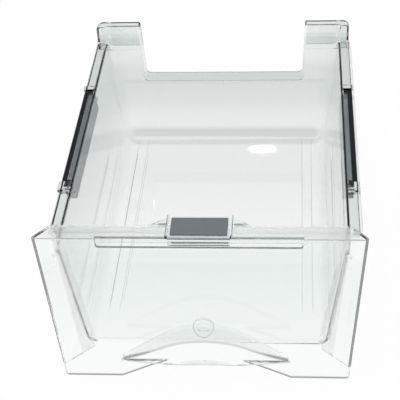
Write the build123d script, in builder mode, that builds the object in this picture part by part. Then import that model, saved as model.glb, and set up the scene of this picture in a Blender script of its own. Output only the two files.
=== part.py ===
import math
import os

from build123d import *

# Front panel: outer face, its foot and the ledge along its top
front_width = 345.0
front_height = 198.0
foot_width = 316.0
panel_thickness = 3.0
ledge_depth = 23.5
edge_radius = 1.8
foot_corner = 4.0
seat_depth = 1.0
overall_length = 484.0

# Tub: drafted walls, base and rounded corners
wall = 2.5
wall_draft = 8.0
front_draft = 2.0
rim_half = 154.0
rim_height = 163.0
base_top = 20.0
foot_radius = 16.0
tub_corner = 8.0
tub_back_inset = 11.5

# Side rims and rear corner posts
rim_width = 13.0
lip_drop = 13.0
lip_flare = 4.0
rim_start = 47.0
rim_rake = 1.4
post_height = 185.0
post_depth = 16.0
post_corner = 8.0
cutout_base_half = 106.0
cutout_top_half = 110.0
cutout_height = 106.0
cutout_corner = 6.0
cutout_shoulder = 4.0

# Arched grip at the foot of the panel
grip_reach = 8.5
grip_half = 93.0
grip_end_reach = 1.5
grip_bottom = 26.0
grip_end_crest = 30.0
grip_flank = 34.8
grip_crest_radius = 78.0
grip_slope = 1.76
grip_wall = 2.4
foot_cut_half = 94.0
foot_cut_slope = 2.05
finger_lip_half = 31.0
finger_lip_depth = 8.0
gate_diameter = 22.0
gate_dimple = 14.0
gate_rise = 2.0

# Label slot along the fold, the guide behind it and the tab of the ledge
slot_half = 106.8
slot_height = 11.5
slot_depth = 4.0
slot_corner = 4.0
tab_half = 35.0
tab_foot_half = 54.0
tab_reach = 11.5
guide_gap = 7.0
guide_thickness = 2.0
guide_drop = 8.0

# Label slider and plate
slide_play = 0.2
slider_half = 34.5
slider_plate = 2.0
slider_wall = 2.2
slider_wall_height = 4.2
hook_half = 32.0
hook_front_gap = 0.5
hook_thickness = 3.0
hook_drop = 9.0
toe_reach = 3.0
toe_height = 3.6
label_half = 29.5
label_front_margin = 3.2
label_back_margin = 3.5
label_thickness = 1.4
label_corner = 1.5

# Runner channels pressed into the base
runner_centre = 112.5
runner_width = 12.5
runner_depth = 2.5
runner_front = 97.0
runner_back = 412.0
runner_ramp = 20.0

# Glide strips in rebates along the rims' outer edges, with keepers at their ends
strip_width = 5.3
strip_front = 143.0
strip_back = 337.0
strip_proud = 0.5
strip_play = 0.3
rebate_depth = 1.5
keeper_rise = 2.6
keeper_back_length = 8.0
keeper_front_length = 16.0
keeper_margin = 1.5
keeper_outset = 2.0
keeper_hole = 6.0
keeper_hole_depth = 3.0

# Strip carriers outside the tub walls, and the shelves under their end lugs
carrier_drop = 9.0
carrier_height = 15.5
carrier_depth = 9.5
carrier_gap = 0.5
lug_height = 9.0
lug_overlap = 4.0
lug_reach = 5.0
shelf_length = 7.0
shelf_thickness = 2.0

# Cheeks that close the sides between the panel and the tub
cheek_width = 3.0
cheek_inset = 3.6
cheek_reach = 1.0

# Derived positions
front_y = grip_reach - overall_length / 2
rear_y = overall_length / 2
draft = math.tan(math.radians(wall_draft))
flank = math.radians(grip_flank)
wall_across = wall / math.cos(math.radians(wall_draft))
base_bottom = base_top - wall
rim_outer = rim_half + rim_width
lip_bottom = rim_height - lip_drop
carrier_top = rim_height - carrier_drop
carrier_bottom = carrier_top - carrier_height
ledge_back = front_y + ledge_depth
ledge_bottom = front_height - wall
post_front = rear_y - post_depth
foot_slope = (front_width - foot_width) / 2 / front_height
panel_back = front_y + panel_thickness
panel_seat = panel_back - seat_depth
grip_apex = grip_end_crest + grip_half * math.tan(flank)
grip_crest = grip_apex - grip_crest_radius * (1 / math.cos(flank) - 1)
over = 2.0


def half_width(z):
    return rim_half + (z - rim_height) * draft


def panel_half(z):
    return foot_width / 2 + foot_slope * z


def front_wall_y(z):
    return ledge_back + (front_height - z) * math.tan(math.radians(front_draft))


def back_wall_y(z):
    return rear_y - tub_back_inset - (post_height - z) * draft


def cheek_end(z):
    return half_width(z) - cheek_inset, front_wall_y(z) + cheek_reach


def upright(y):
    return Plane(origin=(0, y, 0), x_dir=(1, 0, 0), z_dir=(0, -1, 0))


def closed_section(plane, *points):
    with BuildSketch(plane) as section:
        with BuildLine():
            Polyline(*points, close=True)
        make_face()
    return section.sketch


def tub_across(low, high, thickness):
    outset = thickness / math.cos(math.radians(wall_draft))
    half_low = half_width(low) + outset
    half_high = half_width(high) + outset
    return closed_section(
        upright(0), (-half_low, low), (half_low, low), (half_high, high), (-half_high, high)
    )


def tub_along(low, high, thickness):
    ahead = thickness / math.cos(math.radians(front_draft))
    behind = thickness / math.cos(math.radians(wall_draft))
    return closed_section(
        Plane.YZ,
        (front_wall_y(low) - ahead, low),
        (back_wall_y(low) + behind, low),
        (back_wall_y(high) + behind, high),
        (front_wall_y(high) - ahead, high),
    )


def cheek_section(z, side):
    outer = panel_half(z)
    end_x, end_y = cheek_end(z)
    return closed_section(
        Plane.XY.offset(z),
        (side * outer, panel_seat),
        (side * outer, panel_back),
        (side * end_x, end_y),
        (side * (end_x - cheek_width), end_y),
        (side * (outer - cheek_width), panel_back),
        (side * (outer - cheek_width), panel_seat),
    )


def runner_section(x, surface, rise):
    slope = runner_ramp / runner_depth
    low = surface - runner_depth
    return closed_section(
        Plane.YZ.offset(x),
        (front_y + runner_front - rise * slope, surface + rise),
        (front_y + runner_front + runner_ramp, low),
        (front_y + runner_back - runner_ramp, low),
        (front_y + runner_back + rise * slope, surface + rise),
    )


def round_tub(solid, foot, corner):
    fillet(solid.faces().sort_by(Axis.Z)[0].edges(), foot)
    fillet(solid.edges().filter_by(lambda edge: abs(edge.tangent_at(0.5).Z) > 0.3), corner)


def block(x0, x1, y0, y1, z0, z1, mode=Mode.ADD):
    with Locations(((x0 + x1) / 2, (y0 + y1) / 2, (z0 + z1) / 2)):
        Box(x1 - x0, y1 - y0, z1 - z0, mode=mode)


def arch_section(y, inset):
    half = grip_half - inset
    side = grip_end_crest + (y - front_y) * grip_slope + inset * (math.tan(flank) - 1 / math.cos(flank))
    apex = side + half * math.tan(flank)
    low = -front_height
    with BuildSketch(upright(y)) as section:
        with BuildLine():
            FilletPolyline((-half, side), (0, apex), (half, side), radius=grip_crest_radius - inset)
            Polyline((half, side), (half, low), (-half, low), (-half, side))
        make_face()
    return section.sketch


def bow_section(inset, back):
    half = grip_half - inset
    near = front_y - grip_end_reach + inset
    with BuildSketch(Plane.XY.offset(grip_bottom)) as section:
        with BuildLine():
            ThreePointArc((-half, near), (0, front_y - grip_reach + inset), (half, near))
            Polyline((half, near), (half, back), (-half, back), (-half, near))
        make_face()
    return section.sketch


os.makedirs("parts", exist_ok=True)

# Space inside the tub
with BuildPart() as tub_space:
    extrude(tub_across(base_top, front_height + over, 0), amount=overall_length, both=True)
    extrude(tub_along(base_top, front_height + over, 0), amount=front_width, both=True, mode=Mode.INTERSECT)
    round_tub(tub_space, foot_radius, tub_corner)

# Hollow behind the grip, open downwards and through the panel
with BuildPart() as grip_space:
    grip_ahead = front_y - grip_reach - over
    loft([arch_section(panel_back + over, grip_wall), arch_section(grip_ahead, grip_wall)], ruled=True)
    extrude(bow_section(grip_wall, panel_back + over), amount=front_height, mode=Mode.INTERSECT)

# Bowed outside of the grip
with BuildPart() as grip_bulge:
    loft([arch_section(panel_back, 0), arch_section(grip_ahead, 0)], ruled=True)
    extrude(bow_section(0, panel_seat), amount=front_height, mode=Mode.INTERSECT)

# Rear corner posts: a flange turned down around the back, open below
with BuildPart() as posts:
    with BuildSketch(Plane.XY.offset(lip_bottom)):
        with Locations((0, post_front)):
            Rectangle(2 * rim_outer, post_depth, align=(Align.CENTER, Align.MIN))
        fillet(vertices().group_by(Axis.Y)[-1], post_corner)
    extrude(amount=post_height - lip_bottom)
    fillet(posts.faces().sort_by(Axis.Z)[-1].edges(), edge_radius)
    with BuildSketch(Plane.XY.offset(lip_bottom)):
        with Locations((0, post_front + wall)):
            Rectangle(2 * (rim_outer - wall), post_depth - 2 * wall, align=(Align.CENTER, Align.MIN))
        fillet(vertices().group_by(Axis.Y)[-1], post_corner - wall)
    extrude(amount=post_height - lip_bottom - wall, mode=Mode.SUBTRACT)

# Flange that runs around the cut-out of the back wall
with BuildPart() as cutout_frame:
    with BuildSketch(upright(rear_y)):
        with BuildLine():
            Polyline(
                (-cutout_base_half - wall, cutout_height - wall),
                (cutout_base_half + wall, cutout_height - wall),
                (cutout_top_half + wall, post_height),
                (-cutout_top_half - wall, post_height),
                close=True,
            )
        make_face()
        fillet(vertices().group_by(Axis.Y)[0], cutout_corner + wall)
    extrude(amount=2 * post_depth)

# Cut-out of the back wall, with rounded shoulders at its top
with BuildPart() as cutout:
    with BuildSketch(upright(rear_y + over)):
        with BuildLine():
            shoulder_half = cutout_top_half + cutout_shoulder
            Polyline(
                (-cutout_base_half, cutout_height),
                (cutout_base_half, cutout_height),
                (cutout_top_half, post_height),
                (shoulder_half, post_height),
                (shoulder_half, post_height + over),
                (-shoulder_half, post_height + over),
                (-shoulder_half, post_height),
                (-cutout_top_half, post_height),
                close=True,
            )
        make_face()
        fillet(vertices().group_by(Axis.Y)[0], cutout_corner)
        at_post = vertices().filter_by_position(Axis.Y, post_height - 0.1, post_height + 0.1)
        fillet(at_post.sort_by(Axis.X)[1:-1], cutout_shoulder)
    extrude(amount=3 * post_depth)

# Side rims with their turned-down lips, from a raked end behind the cheeks to the posts
with BuildPart() as side_rims:
    with BuildSketch(upright(front_y)):
        with BuildLine():
            Polyline(
                (rim_half, rim_height),
                (rim_outer, rim_height),
                (rim_outer + lip_flare, lip_bottom),
                (rim_outer + lip_flare - wall, lip_bottom),
                (rim_outer - wall, rim_height - wall),
                (rim_half, rim_height - wall),
                close=True,
            )
        make_face()
        fillet(vertices().group_by(Axis.Y)[-1].sort_by(Axis.X)[-1], edge_radius)
        mirror(about=Plane.YZ)
    extrude(amount=-(post_front + wall - front_y))
    rim_end = closed_section(
        Plane.YZ,
        (front_y - over, rim_height + over),
        (front_y + rim_start, rim_height + over),
        (front_y + rim_start + rim_rake * (lip_drop + 2 * over), lip_bottom - over),
        (front_y - over, lip_bottom - over),
    )
    extrude(rim_end, amount=front_width, both=True, mode=Mode.SUBTRACT)

# Hanging front panel with its two feet
with BuildPart() as front_panel:
    with BuildSketch(upright(front_y)):
        with BuildLine():
            foot_cut_top = foot_cut_half - foot_cut_slope * grip_bottom
            Polyline(
                (-front_width / 2, front_height),
                (-foot_width / 2, 0),
                (-foot_cut_half, 0),
                (-foot_cut_top, grip_bottom),
                (foot_cut_top, grip_bottom),
                (foot_cut_half, 0),
                (foot_width / 2, 0),
                (front_width / 2, front_height),
                close=True,
            )
        make_face()
        feet = vertices().group_by(Axis.Y)[0].sort_by(Axis.X)
        fillet([feet[0], feet[-1]], foot_corner)
    extrude(amount=-panel_thickness)
    fillet(front_panel.edges().group_by(Axis.Y)[0], edge_radius)

# Drawer body: one clear moulding
with BuildPart() as drawer_body:
    # Outside of the tub
    extrude(tub_across(base_bottom, front_height, wall), amount=overall_length, both=True)
    extrude(tub_along(base_bottom, front_height, wall), amount=front_width, both=True, mode=Mode.INTERSECT)
    round_tub(drawer_body, foot_radius + wall, tub_corner + wall)

    # Back lowered to the posts, sides lowered to the rims, front wall ended where the ledge ends
    side_step = front_wall_y(rim_height) + wall
    block(-front_width, front_width, side_step, rear_y + over, post_height, 2 * front_height, Mode.SUBTRACT)
    block(-front_width, front_width, side_step, post_front, rim_height, 2 * front_height, Mode.SUBTRACT)
    for side in (-1, 1):
        trim_x = sorted((side * (rim_half + wall / 2), side * front_width))
        block(*trim_x, front_y, post_front, rim_height, 2 * front_height, Mode.SUBTRACT)

    # Posts and the flange around the cut-out between them
    add(posts.part)
    add(cutout_frame.part)
    add(cutout.part, mode=Mode.SUBTRACT)

    # Side rims, filled out to the tub's rounded corners
    add(side_rims.part)
    for side in (-1, 1):
        corner_x = sorted((side * (rim_half - tub_corner), side * (rim_half + wall)))
        corner_y = front_wall_y(rim_height)
        block(*corner_x, corner_y, post_front + wall, rim_height - wall, rim_height)

    # Panel, ledge and the cheeks under the ledge's slanted ends
    add(front_panel.part)
    ledge_x, ledge_y = cheek_end(front_height)
    ledge = closed_section(
        Plane.XY.offset(ledge_bottom),
        (-front_width / 2, panel_seat),
        (front_width / 2, panel_seat),
        (front_width / 2, panel_back),
        (ledge_x, ledge_y),
        (-ledge_x, ledge_y),
        (-front_width / 2, panel_back),
    )
    extrude(ledge, amount=wall)
    for side in (-1, 1):
        loft([cheek_section(base_bottom, side), cheek_section(front_height - wall / 2, side)], ruled=True)

    # Arched grip, with the round gate mark on its crest
    add(grip_bulge.part)
    with BuildSketch(upright(panel_seat)):
        with Locations((0, grip_crest)):
            Circle(gate_diameter / 2)
    extrude(amount=panel_thickness / 2 + gate_rise)
    with BuildSketch(upright(front_y - gate_rise)):
        with Locations((0, grip_crest)):
            Circle(gate_dimple / 2)
    extrude(amount=-gate_rise / 2, mode=Mode.SUBTRACT)
    add(tub_space.part, mode=Mode.SUBTRACT)
    add(grip_space.part, mode=Mode.SUBTRACT)

    # Finger lip inside the grip's lower edge
    with BuildSketch(Plane.XY.offset(grip_bottom)):
        lip_face = front_y - grip_reach + grip_wall
        with BuildLine():
            ThreePointArc(
                (-finger_lip_half, lip_face),
                (0, lip_face + finger_lip_depth - grip_wall),
                (finger_lip_half, lip_face),
            )
            Polyline(
                (finger_lip_half, lip_face),
                (finger_lip_half, lip_face - grip_wall / 2),
                (-finger_lip_half, lip_face - grip_wall / 2),
                (-finger_lip_half, lip_face),
            )
        make_face()
    extrude(amount=grip_wall)

    # Tab of the ledge behind the label, and the guide under the ledge
    with BuildSketch(Plane.XY.offset(ledge_bottom)):
        with BuildLine():
            Polyline(
                (-tab_foot_half, ledge_back - wall),
                (tab_foot_half, ledge_back - wall),
                (tab_foot_half, ledge_back),
                (tab_half, ledge_back + tab_reach),
                (-tab_half, ledge_back + tab_reach),
                (-tab_foot_half, ledge_back),
                close=True,
            )
        make_face()
    extrude(amount=wall)
    block(
        -slot_half - wall,
        slot_half + wall,
        front_y + guide_gap,
        front_y + guide_gap + guide_thickness,
        ledge_bottom - guide_drop,
        ledge_bottom + wall / 2,
    )

    # Label slot cut through the fold
    with BuildSketch(upright(front_y - over)):
        slot_span = slot_height + 3 * slot_corner
        with Locations((0, front_height - slot_height + slot_span / 2)):
            RectangleRounded(2 * slot_half, slot_span, slot_corner)
    extrude(amount=-(slot_depth + over), mode=Mode.SUBTRACT)

    # Runner channels in the base
    for side in (-1, 1):
        x0 = side * runner_centre - runner_width / 2
        extrude(runner_section(x0 - wall, base_bottom, wall / 2), amount=runner_width + 2 * wall)
        extrude(runner_section(x0, base_top, over), amount=runner_width, mode=Mode.SUBTRACT)

    # Keepers on the rims, rebates for the glide strips and shelves for the carriers' lugs
    rebate_y0 = front_y + strip_front - strip_play
    rebate_y1 = front_y + strip_back + strip_play
    keeper_top = rim_height + keeper_rise
    shelf_top = rim_height - wall - lug_height
    for side in (-1, 1):
        rebate_x = sorted((side * (rim_outer - strip_width - strip_play), side * front_width))
        keeper_x = sorted((side * (rim_half + keeper_margin), side * (rim_outer + keeper_outset)))
        shelf_inner = half_width(lip_bottom) + wall / 2
        shelf_x = sorted((side * shelf_inner, side * (rim_outer + lip_flare - wall / 2)))
        block(*keeper_x, rebate_y0 - keeper_front_length, rebate_y0, rim_height - wall / 2, keeper_top)
        block(*keeper_x, rebate_y1, rebate_y1 + keeper_back_length, rim_height - wall / 2, keeper_top)
        with BuildSketch(Plane.XY.offset(keeper_top)):
            with Locations((side * (rim_half + rim_width / 2), rebate_y0 - keeper_front_length / 2)):
                Circle(keeper_hole / 2)
        extrude(amount=-keeper_hole_depth, mode=Mode.SUBTRACT)
        block(*rebate_x, rebate_y0, rebate_y1, rim_height - rebate_depth, keeper_top + over, Mode.SUBTRACT)
        for end in (rebate_y0 - lug_overlap, rebate_y1 + lug_overlap - shelf_length):
            block(*shelf_x, end, end + shelf_length, shelf_top - shelf_thickness, shelf_top)
drawer_body.part.label = "drawer_body"
export_step(drawer_body.part, "parts/drawer_body.step")

# Strip carriers: a bar along the outside of each tub wall, with lugs held between shelf and rim
strip_y0 = front_y + strip_front
strip_y1 = front_y + strip_back
carrier_front = strip_y0 - lug_overlap + shelf_length
carrier_back = strip_y1 + lug_overlap - shelf_length
carrier_x = rim_half + carrier_depth
lug_x = rim_half + wall_across + carrier_gap
with BuildPart() as strip_carrier_right:
    bar = closed_section(
        upright(carrier_front),
        (half_width(carrier_bottom) + wall_across + carrier_gap, carrier_bottom),
        (carrier_x, carrier_bottom),
        (carrier_x, carrier_top),
        (half_width(carrier_top) + wall_across + carrier_gap, carrier_top),
    )
    extrude(bar, amount=-(carrier_back - carrier_front))
    lug_start = strip_y0 - lug_overlap + strip_play
    lug_stop = strip_y1 + lug_overlap - strip_play
    for lug_y in ((lug_start, carrier_front + lug_reach), (carrier_back - lug_reach, lug_stop)):
        block(lug_x, carrier_x, *lug_y, shelf_top, rim_height - wall)
strip_carrier_right.part.label = "strip_carrier_right"
export_step(strip_carrier_right.part, "parts/strip_carrier_right.step")

with BuildPart() as strip_carrier_left:
    add(mirror(strip_carrier_right.part, about=Plane.YZ, mode=Mode.PRIVATE))
strip_carrier_left.part.label = "strip_carrier_left"
export_step(strip_carrier_left.part, "parts/strip_carrier_left.step")

# Glide strips: they lie in the rebates of the rims and stand a little proud
strip_low = rim_height - rebate_depth
with BuildPart() as glide_strip_right:
    block(rim_outer - strip_width, rim_outer, strip_y0, strip_y1, strip_low, rim_height + strip_proud)
glide_strip_right.part.label = "glide_strip_right"
export_step(glide_strip_right.part, "parts/glide_strip_right.step")

with BuildPart() as glide_strip_left:
    add(mirror(glide_strip_right.part, about=Plane.YZ, mode=Mode.PRIVATE))
glide_strip_left.part.label = "glide_strip_left"
export_step(glide_strip_left.part, "parts/glide_strip_left.step")

# Label slider: a tray on the ledge with a hook down through the label slot
slider_floor = front_height + slide_play
slider_front = front_y + hook_front_gap
slider_back = ledge_back + tab_reach
with BuildPart() as label_slider:
    block(-slider_half, slider_half, slider_front, slider_back, slider_floor, slider_floor + slider_plate)
    for side in (-1, 1):
        wall_x = sorted((side * slider_half, side * (slider_half - slider_wall)))
        block(*wall_x, slider_front, slider_back, slider_floor, slider_floor + slider_wall_height)
    hook_low = slider_floor - hook_drop
    hook_back = slider_front + hook_thickness
    block(-hook_half, hook_half, slider_front, hook_back, hook_low, slider_floor + slider_plate / 2)
    toe_top = ledge_bottom - slide_play
    block(-hook_half, hook_half, slider_front, hook_back + toe_reach, toe_top - toe_height, toe_top)
label_slider.part.label = "label_slider"
export_step(label_slider.part, "parts/label_slider.step")

# Label plate: plain plate lying in the slider's tray
with BuildPart() as label_plate:
    plate_front = slider_front + label_front_margin
    plate_back = slider_back - label_back_margin
    with BuildSketch(Plane.XY.offset(slider_floor + slider_plate)):
        with Locations((0, (plate_front + plate_back) / 2)):
            RectangleRounded(2 * label_half, plate_back - plate_front, label_corner)
    extrude(amount=label_thickness)
label_plate.part.label = "label_plate"
export_step(label_plate.part, "parts/label_plate.step")
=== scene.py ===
import math

import bpy
import numpy as np
from mathutils import Matrix, Vector


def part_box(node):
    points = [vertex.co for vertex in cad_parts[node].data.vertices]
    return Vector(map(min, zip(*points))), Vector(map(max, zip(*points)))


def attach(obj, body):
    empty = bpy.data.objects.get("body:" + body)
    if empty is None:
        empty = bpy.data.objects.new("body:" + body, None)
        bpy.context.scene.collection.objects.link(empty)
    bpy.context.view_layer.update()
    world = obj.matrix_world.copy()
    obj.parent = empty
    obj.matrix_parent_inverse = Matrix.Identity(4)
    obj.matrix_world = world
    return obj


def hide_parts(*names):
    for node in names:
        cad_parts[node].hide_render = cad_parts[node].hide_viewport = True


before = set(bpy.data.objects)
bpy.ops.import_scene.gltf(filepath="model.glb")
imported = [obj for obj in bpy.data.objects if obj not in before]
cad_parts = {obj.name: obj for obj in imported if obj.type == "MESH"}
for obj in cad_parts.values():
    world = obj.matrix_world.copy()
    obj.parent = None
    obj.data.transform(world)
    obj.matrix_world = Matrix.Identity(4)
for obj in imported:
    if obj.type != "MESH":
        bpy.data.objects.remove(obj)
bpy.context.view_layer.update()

# Drawer body: one clear styrene moulding, injected through a gate on the crest of the grip.
# Its walls are polished in the mould, and the ledge along the top of the front is left satin.


class Wire:
    """One socket of a shader. Sums and products of wires and numbers become Math nodes."""

    def __init__(self, tree, socket=None):
        self.tree = tree
        self.socket = socket

    def add(self, kind, settings=None, inputs=None, output=0):
        """Adds a node of that type: settings first, then values or links of its sockets."""
        node = self.tree.nodes.new("ShaderNode" + kind)
        for name, value in (settings or {}).items():
            if name == "stops":
                ramp = node.color_ramp.elements
                while len(ramp) < len(value):
                    ramp.new(0.5)
                for stop, (place, shade) in zip(ramp, value):
                    stop.position = place
                    stop.color = shade
            else:
                setattr(node, name, value)
        for name, value in (inputs or {}).items():
            if isinstance(value, Wire):
                self.tree.links.new(value.socket, node.inputs[name])
            else:
                node.inputs[name].default_value = value
        return Wire(self.tree, node.outputs[output] if len(node.outputs) else None)

    def math(self, operation, first, second):
        return self.add("Math", {"operation": operation}, {0: first, 1: second})

    def __add__(self, other):
        return self.math("ADD", self, other)

    def __radd__(self, other):
        return self.math("ADD", other, self)

    def __sub__(self, other):
        return self.math("SUBTRACT", self, other)

    def __rsub__(self, other):
        return self.math("SUBTRACT", other, self)

    def __mul__(self, other):
        return self.math("MULTIPLY", self, other)

    def __rmul__(self, other):
        return self.math("MULTIPLY", other, self)

    def size(self):
        """The value without its sign."""
        return self.math("ABSOLUTE", self, 0.0)

    def above(self, edge, soft):
        """0 below the edge and 1 above it, with a soft step of that width."""
        settings = {"interpolation_type": "SMOOTHSTEP"}
        inputs = {"Value": self, "From Min": edge - soft / 2, "From Max": edge + soft / 2}
        return self.add("MapRange", settings, inputs)

    def near(self, middle, reach, soft):
        """1 within that reach of the middle and 0 outside, with a soft step of that width."""
        return 1.0 - (self - middle).size().above(reach, soft)


def new_finish(name):
    """An empty node material and the start of its wires, with object coordinates and their parts."""
    finish = bpy.data.materials.new(name)
    finish.use_nodes = True
    finish.node_tree.nodes.clear()
    start = Wire(finish.node_tree)
    place = start.add("TexCoord", None, None, "Object")
    parts = [start.add("SeparateXYZ", None, {"Vector": place}, axis) for axis in "XYZ"]
    return finish, start, place, parts


def welded_copy(node, name, fold_degrees):
    """Copies a node's loose triangles, joins corners at the same place and smooths flat folds."""
    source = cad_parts[node].data
    corners = np.empty(len(source.vertices) * 3, np.float32)
    source.vertices.foreach_get("co", corners)
    source.calc_loop_triangles()
    loops = np.empty(len(source.loop_triangles) * 3, np.int32)
    source.loop_triangles.foreach_get("vertices", loops)
    keys, first, joined = np.unique(
        np.round(corners.reshape(-1, 3) * 1e6).astype(np.int64), axis=0, return_index=True, return_inverse=True
    )
    faces = joined.reshape(-1)[loops].reshape(-1, 3)
    whole = (faces[:, 0] != faces[:, 1]) & (faces[:, 1] != faces[:, 2]) & (faces[:, 2] != faces[:, 0])
    mesh = bpy.data.meshes.new(name)
    mesh.from_pydata(corners.reshape(-1, 3)[first].tolist(), [], faces[whole].tolist())
    mesh.shade_smooth()
    mesh.set_sharp_from_angle(angle=math.radians(fold_degrees))
    piece = bpy.data.objects.new(name, mesh)
    bpy.context.scene.collection.objects.link(piece)
    flats = piece.modifiers.new("flats_stay_flat", "WEIGHTED_NORMAL")
    flats.keep_sharp = True
    flats.weight = 100
    return piece


grip_reach = 0.0085
panel_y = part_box("drawer_body")[0].y + grip_reach
rear_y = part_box("drawer_body")[1].y
ledge_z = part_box("drawer_body")[1].z


def clear_plastic(name, near_tint, painted_shade_tint, depth=None, satin=None, edges=None, seams=None):
    """Clear styrene with faint flow waves in its surface.

    The tint goes from near, the plastic's own tint, to a darker painted shade tint by the share that depth
    gives.
    Satin faces are rough, edges get painted dark lines that stand in for the shade along the sheet's edges, and
    seams let light straight through.
    """
    finish, start, place, (x, y, z) = new_finish(name)
    waves = start.add("TexNoise", None, {"Vector": place, "Scale": 9.0, "Detail": 1.0, "Roughness": 0.4})
    haze = start.add("TexNoise", None, {"Vector": place, "Scale": 40.0, "Detail": 3.0})
    inputs = {"IOR": 1.47, "Transmission Weight": 1.0, "Base Color": (*near_tint, 1.0)}
    inputs["Normal"] = start.add("Bump", None, {"Strength": 0.05, "Distance": 0.004, "Height": waves})
    inputs["Roughness"] = 0.012 + haze * 0.02
    if satin is not None:
        inputs["Roughness"] = inputs["Roughness"] + satin(x, y, z) * 0.15
    # Painted shade: depth mixes the darker far tint into the plastic's own tint.
    if depth is not None:
        sides = {"Factor": depth(x, y, z), "A": (*near_tint, 1.0), "B": (*painted_shade_tint, 1.0)}
        inputs["Base Color"] = start.add("Mix", {"data_type": "RGBA"}, sides, 2)
    # Painted shade: edges mixes painted dark lines into the tint.
    if edges is not None:
        sides = {"Factor": edges(x, y, z), "A": inputs["Base Color"], "B": (*painted_edge_tint, 1.0)}
        inputs["Base Color"] = start.add("Mix", {"data_type": "RGBA"}, sides, 2)
    if seams is not None:
        inputs["Alpha"] = 1.0 - 0.6 * seams(x, y, z)
    shader = start.add("BsdfPrincipled", None, inputs)
    start.add("OutputMaterial", None, {"Surface": shader})
    return finish


grip_half = 0.093
grip_end_crest = 0.030
grip_flank = math.radians(34.8)
grip_crest_radius = 0.078
grip_slope = 1.76
grip_low = 0.026
grip_bow = 0.007
grip_middle = grip_end_crest + grip_half * math.tan(grip_flank) - grip_crest_radius / math.cos(grip_flank)
panel_thick = 0.003
foot_half = 0.158
foot_slope = 0.0732
cut_half = 0.094
cut_slope = 2.05
slot_half = 0.1068
slot_low = ledge_z - 0.0115
slot_back = panel_y + 0.004
gate_radius = 0.011
runner_middle = 0.1125
runner_half = 0.00625
base_top = 0.020
ledge_back = panel_y + 0.0235
wall_slope = 0.1405
wall_foot = 0.1311
rim_z = 0.163


def grip_face(x, y, z):
    """The sloped face of the grip under its arch.

    It lies where the height is the arch's height at x, lowered by the slope times the distance ahead of
    the panel. The arch is two straight flanks joined by a round crest.
    """
    aside = x.size()
    crest = grip_middle + x.math("SQRT", x.math("MAXIMUM", grip_crest_radius ** 2 - x * x, 0.0), 0.0)
    flank = grip_end_crest + (grip_half - aside) * math.tan(grip_flank)
    on_flank = aside.above(grip_crest_radius * math.sin(grip_flank), 0.0005)
    arch = crest + (flank - crest) * on_flank
    drop = z - arch - (y - panel_y) * grip_slope
    return drop.near(0.0, 0.0015, 0.001) * (1.0 - y.above(panel_y - 0.0004, 0.0004))


def painted_shade_share(x, y, z):
    """Share of painted shade in the tint: it grows along the base towards the rear, up the walls and again
    in the two side walls.

    Painted shade also darkens the foot of the back wall, a band across the back wall, the flange of the cut-out
    and the sloped face of the grip; the rear posts and everything above the rims get less of it.
    """
    aside = x.size()
    behind = y.above(panel_y + 0.045, 0.05)
    walls = z.above(0.09, 0.17) * (0.12 + 0.48 * behind)
    along = 0.38 * y.above(panel_y + 0.26, 0.34)
    sides = 0.20 * behind * aside.above(0.137, 0.02)
    on_post = 0.55 * y.above(rear_y - 0.022, 0.004) * z.above(0.130, 0.03)
    posts = 1.0 - 0.75 * x.math("MAXIMUM", z.above(0.166, 0.006), on_post)
    band = 0.15 * y.above(rear_y - 0.050, 0.02) * z.near(0.085, 0.02, 0.02)
    corner = y.above(rear_y - 0.048, 0.012) * (1.0 - z.above(0.034, 0.014))
    corner = corner * (0.8 - 0.5 * aside.above(0.126, 0.016))
    flange = 0.6 * z.near(0.1045, 0.0025, 0.001) * y.above(rear_y - 0.030, 0.004)
    return (walls + along + sides) * posts + corner + band + flange + 0.35 * grip_face(x, y, z)


def touched_faces(x, y, z):
    """Satin where hands touch: the top of the ledge, and the sloped face of the grip."""
    ledge = z.above(ledge_z - 0.0032, 0.0006) * (1.0 - y.above(ledge_back, 0.001))
    return x.math("MAXIMUM", ledge, grip_face(x, y, z))


def painted_edge_lines(x, y, z):
    """Painted dark lines standing in for the shade along the sheet's edges: the panel's outline and feet, the
    slot, the gate mark, the channels.
    """
    aside = x.size()
    panel = 1.0 - y.above(panel_y + panel_thick + 0.0004, 0.0004)
    outline = 0.3 * (aside - foot_slope * z).above(foot_half - 0.0012, 0.0008)
    feet = 1.0 - z.above(0.0022, 0.0008)
    slant = (aside + cut_slope * z).near(cut_half, 0.0045, 0.001) * (1.0 - z.above(grip_low + 0.0005, 0.0005))
    mouth = 0.2 * z.near(grip_low, 0.0009, 0.0005) * (1.0 - y.above(panel_y - 0.0005, 0.0004))
    bow = (x * x) * (grip_bow / grip_half ** 2) - grip_reach
    arch = 0.5 * grip_face(x, y, z) * (y - panel_y - bow).near(0.0, 0.0009, 0.0005)
    slot_end = 1.0 - aside.above(slot_half + 0.0006, 0.0004)
    slot = 0.3 * z.near(slot_low, 0.0007, 0.0004) * slot_end
    slot_rear = y.near(slot_back, 0.0006, 0.0004) * z.above(ledge_z - 0.003, 0.0005) * slot_end
    up = z - grip_middle - grip_crest_radius
    gate = x.math("SQRT", x * x + up * up, 0.0).near(gate_radius, 0.0005, 0.0005) * 0.4
    channel = (aside - runner_middle).size().near(runner_half, 0.0004, 0.0004)
    channel = 0.55 * channel * (1.0 - z.above(base_top - 0.0002, 0.0003)) * y.above(panel_y + 0.09, 0.001)
    front = x.math("MAXIMUM", x.math("MAXIMUM", outline, feet), x.math("MAXIMUM", slant, mouth))
    front = x.math("MAXIMUM", x.math("MAXIMUM", front, arch), x.math("MAXIMUM", slot, gate))
    return x.math("MAXIMUM", x.math("MAXIMUM", front * panel, slot_rear), channel)


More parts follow.
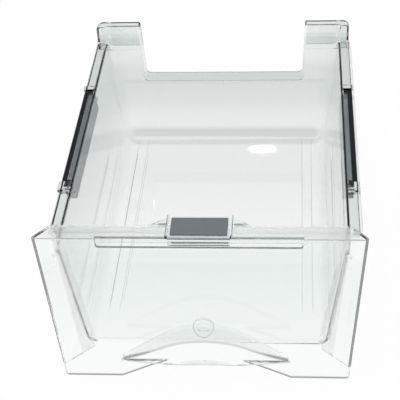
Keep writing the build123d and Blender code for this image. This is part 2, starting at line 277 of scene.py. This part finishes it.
def light_seams(x, y, z):
    """Thin joints that hardly show: the ledge's rear edge, the slot's lower edge, the tub's front corners.

    The panel's side edges and the upper edges of the side walls show half as much.
    """
    aside = x.size()
    ledge = y.near(ledge_back, 0.003, 0.001) * z.above(ledge_z - 0.012, 0.004)
    upright = aside - wall_slope * z
    corners = upright.near(wall_foot - 0.002, 0.009, 0.002) * y.near(ledge_back + 0.004, 0.009, 0.002)
    corners = corners * (1.0 - z.above(0.185, 0.01))
    rims = 0.8 * upright.near(wall_foot, 0.0025, 0.001) * z.near(rim_z, 0.003, 0.001)
    on_panel = 1.0 - y.above(panel_y + 0.006, 0.001)
    panel = 0.5 * (aside - foot_slope * z).above(foot_half - 0.003, 0.001) * on_panel
    mouth = z.near(grip_low, 0.001, 0.0005) * (1.0 - aside.above(grip_half, 0.001)) * on_panel
    mouth = mouth * y.above(panel_y - 0.0005, 0.0004)
    slot_end = 1.0 - aside.above(slot_half + 0.001, 0.0006)
    slot = 0.45 * z.near(slot_low, 0.0014, 0.0006) * slot_end * (1.0 - y.above(slot_back + 0.001, 0.0006))
    joints = x.math("MAXIMUM", x.math("MAXIMUM", ledge, 0.6 * corners), slot)
    return x.math("MAXIMUM", joints, x.math("MAXIMUM", rims, x.math("MAXIMUM", panel, mouth)))


near_tint = (0.972, 0.988, 0.982)
# The far tint is painted shade: it stands in for the shade seen through the walls and base towards the rear.
painted_shade_tint = (0.655, 0.690, 0.683)
# Tint of the painted dark lines that stand in for the shade along the sheet's edges.
painted_edge_tint = (0.20, 0.23, 0.24)
drawer = welded_copy("drawer_body", "drawer_shell", 28.0)
# The drawer's tint gets painted shade towards the rear, up the walls and at the foot of the back wall, and
# painted dark lines along its edges.
drawer_finish = clear_plastic(
    "clear_styrene", near_tint, painted_shade_tint, painted_shade_share, touched_faces, painted_edge_lines, light_seams
)
drawer.data.materials.append(drawer_finish)
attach(drawer, "drawer")
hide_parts("drawer_body")

# Glide strips: black acetal bars pushed up under the side rims; the ribs stand through the rim slots.
# They run dry on the cabinet's rails, so their surface is matt with faint lengthwise rubbing.
strip_black = (0.006, 0.008, 0.010)


def strip_plastic(name, shade):
    """Matt acetal: dark base, slightly paler rubbed streaks along the length, fine grain."""
    finish, start, place, (x, y, z) = new_finish(name)
    along = start.add("Mapping", None, {"Vector": place, "Scale": (900.0, 14.0, 900.0)})
    rubbed = start.add("TexNoise", None, {"Vector": along, "Scale": 1.0, "Detail": 2.0})
    grain = start.add("TexNoise", None, {"Vector": place, "Scale": 900.0, "Detail": 2.0})
    paler = tuple(min(1.0, 1.3 * c + 0.004) for c in shade)
    colour = start.add(
        "Mix",
        {"data_type": "RGBA"},
        {"Factor": rubbed.above(0.58, 0.25), "A": (*shade, 1.0), "B": (*paler, 1.0)},
        2,
    )
    bump = start.add("Bump", None, {"Strength": 0.12, "Distance": 0.0004, "Height": grain})
    shader = start.add(
        "BsdfPrincipled",
        None,
        {"Base Color": colour, "Roughness": 0.42 + rubbed * 0.2, "Specular IOR Level": 0.12, "Normal": bump},
    )
    start.add("OutputMaterial", None, {"Surface": shader})
    return finish


strip_finish = strip_plastic("strip_black_acetal", strip_black)
for side in ("left", "right"):
    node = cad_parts["glide_strip_" + side]
    node.data.materials.clear()
    node.data.materials.append(strip_finish)

# Strip carriers: grey acetal bars under the side rims that hold the glide strips from below.
# A thin skirt of each carrier hangs down along the outside of the tub wall.
carrier_grey = (0.50, 0.54, 0.56)
carrier_finish = strip_plastic("carrier_grey_acetal", carrier_grey)
for side in ("left", "right"):
    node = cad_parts["strip_carrier_" + side]
    node.data.materials.clear()
    node.data.materials.append(carrier_finish)

# Label slider: a small clear tray that hooks into the slot along the fold and slides on the ledge.
# It is moulded from the same clear styrene as the drawer.
tray_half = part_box("label_slider")[1].x


def painted_tray_side_lines(x, y, z):
    """Painted dark lines on the upright sides of the tray, standing in for the shade along the sheet's edges."""
    return 0.7 * x.size().near(tray_half, 0.0010, 0.0006)


# The tray's upright sides get painted dark lines.
slider_finish = clear_plastic("clear_slider_styrene", near_tint, painted_shade_tint, edges=painted_tray_side_lines)
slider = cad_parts["label_slider"]
slider.data.materials.clear()
slider.data.materials.append(slider_finish)

# Label plate: a plain grey plate laid in the slider's tray, satin, with no print.
label_grey = (0.150, 0.173, 0.187)
finish, start, place, (x, y, z) = new_finish("label_satin_grey")
mottle = start.add("TexNoise", None, {"Vector": place, "Scale": 60.0, "Detail": 3.0})
grain = start.add("TexNoise", None, {"Vector": place, "Scale": 1400.0, "Detail": 2.0})
darker = tuple(0.86 * c for c in label_grey)
colour = start.add(
    "Mix", {"data_type": "RGBA"}, {"Factor": mottle, "A": (*darker, 1.0), "B": (*label_grey, 1.0)}, 2
)
bump = start.add("Bump", None, {"Strength": 0.08, "Distance": 0.0003, "Height": grain})
shader = start.add(
    "BsdfPrincipled", None, {"Base Color": colour, "Roughness": 0.42 + mottle * 0.12, "Normal": bump}
)
start.add("OutputMaterial", None, {"Surface": shader})
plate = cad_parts["label_plate"]
plate.data.materials.clear()
plate.data.materials.append(finish)

# Stage: a plain white floor under the drawer's feet, a pale surround and soft lamps from above.
floor_half = 6.0
floor_mesh = bpy.data.meshes.new("floor")
floor_corners = [(-floor_half, -floor_half, 0), (floor_half, -floor_half, 0), (floor_half, floor_half, 0), (-floor_half, floor_half, 0)]
floor_mesh.from_pydata(floor_corners, [], [(0, 1, 2, 3)])
floor = bpy.data.objects.new("floor", floor_mesh)
bpy.context.scene.collection.objects.link(floor)
finish, start, place, (x, y, z) = new_finish("floor_white")
path_camera = start.add("LightPath", None, None, "Is Camera Ray")
path_glossy = start.add("LightPath", None, None, "Is Glossy Ray")
path_through = start.add("LightPath", None, None, "Is Transmission Ray")
seen = start.math("MINIMUM", path_camera + path_glossy + path_through, 1.0)
matt = start.add("BsdfDiffuse", None, {"Color": (0.95, 0.95, 0.95, 1.0)})
glow = start.add("Emission", None, {"Color": (1.0, 1.0, 1.0, 1.0), "Strength": 1.0})
both = start.add("MixShader", None, {0: seen * 0.96, 1: matt, 2: glow})
start.add("OutputMaterial", None, {"Surface": both})
floor_mesh.materials.append(finish)

world = bpy.data.worlds.new("surround")
world.use_nodes = True
world.node_tree.nodes.clear()
sky = Wire(world.node_tree)
up = sky.add("SeparateXYZ", None, {"Vector": sky.add("TexCoord", None, None, "Generated")}, "Z")
shade = sky.add(
    "ValToRGB",
    {"stops": [(0.0, (0.45, 0.46, 0.46, 1.0)), (0.35, (0.55, 0.56, 0.56, 1.0)), (1.0, (0.95, 0.95, 0.95, 1.0))]},
    {"Fac": up},
)
surround = sky.add("Background", None, {"Color": shade, "Strength": 1.0})
sky.add("OutputWorld", None, {"Surface": surround})
bpy.context.scene.world = world


def lamp(name, place, aim, width, depth, power):
    """A soft box of that size, turned so that it faces the aim point."""
    light = bpy.data.lights.new(name, "AREA")
    light.shape = "ELLIPSE"
    light.size = width
    light.size_y = depth
    light.energy = power
    box = bpy.data.objects.new(name, light)
    box.location = place
    box.rotation_euler = (Vector(aim) - Vector(place)).to_track_quat("-Z", "Y").to_euler()
    bpy.context.scene.collection.objects.link(box)


lamp("soft_box_above", (-0.5, -0.3, 1.8), (0.0, 0.0, 0.05), 1.4, 1.4, 9.0)
lamp("glint_lamp", (0.0, 1.807, 1.150), (0.056, 0.173, 0.02), 0.085, 0.027, 0.13)

# Camera: stands in front and above, a little to the right, turned slightly on its axis.
picture_side = 400
focal_pixels = 1216.47
yaw, pitch, roll = (math.radians(angle) for angle in (5.7413, 37.3343, -3.3275))
look = Vector((-math.sin(yaw) * math.cos(pitch), math.cos(yaw) * math.cos(pitch), -math.sin(pitch)))
level = Vector((math.cos(yaw), math.sin(yaw), 0.0))
above = level.cross(look)
across = math.cos(roll) * level + math.sin(roll) * above
upward = math.cos(roll) * above - math.sin(roll) * level
camera = bpy.data.objects.new("camera", bpy.data.cameras.new("camera"))
camera.data.sensor_width = 36.0
camera.data.lens = 36.0 * focal_pixels / picture_side
camera.matrix_world = Matrix.Translation((0.1000, -1.1861, 0.9790)) @ Matrix(
    (across, upward, -look)
).transposed().to_4x4()
bpy.context.scene.collection.objects.link(camera)
bpy.context.scene.camera = camera
bpy.context.scene.view_settings.view_transform = "Standard"
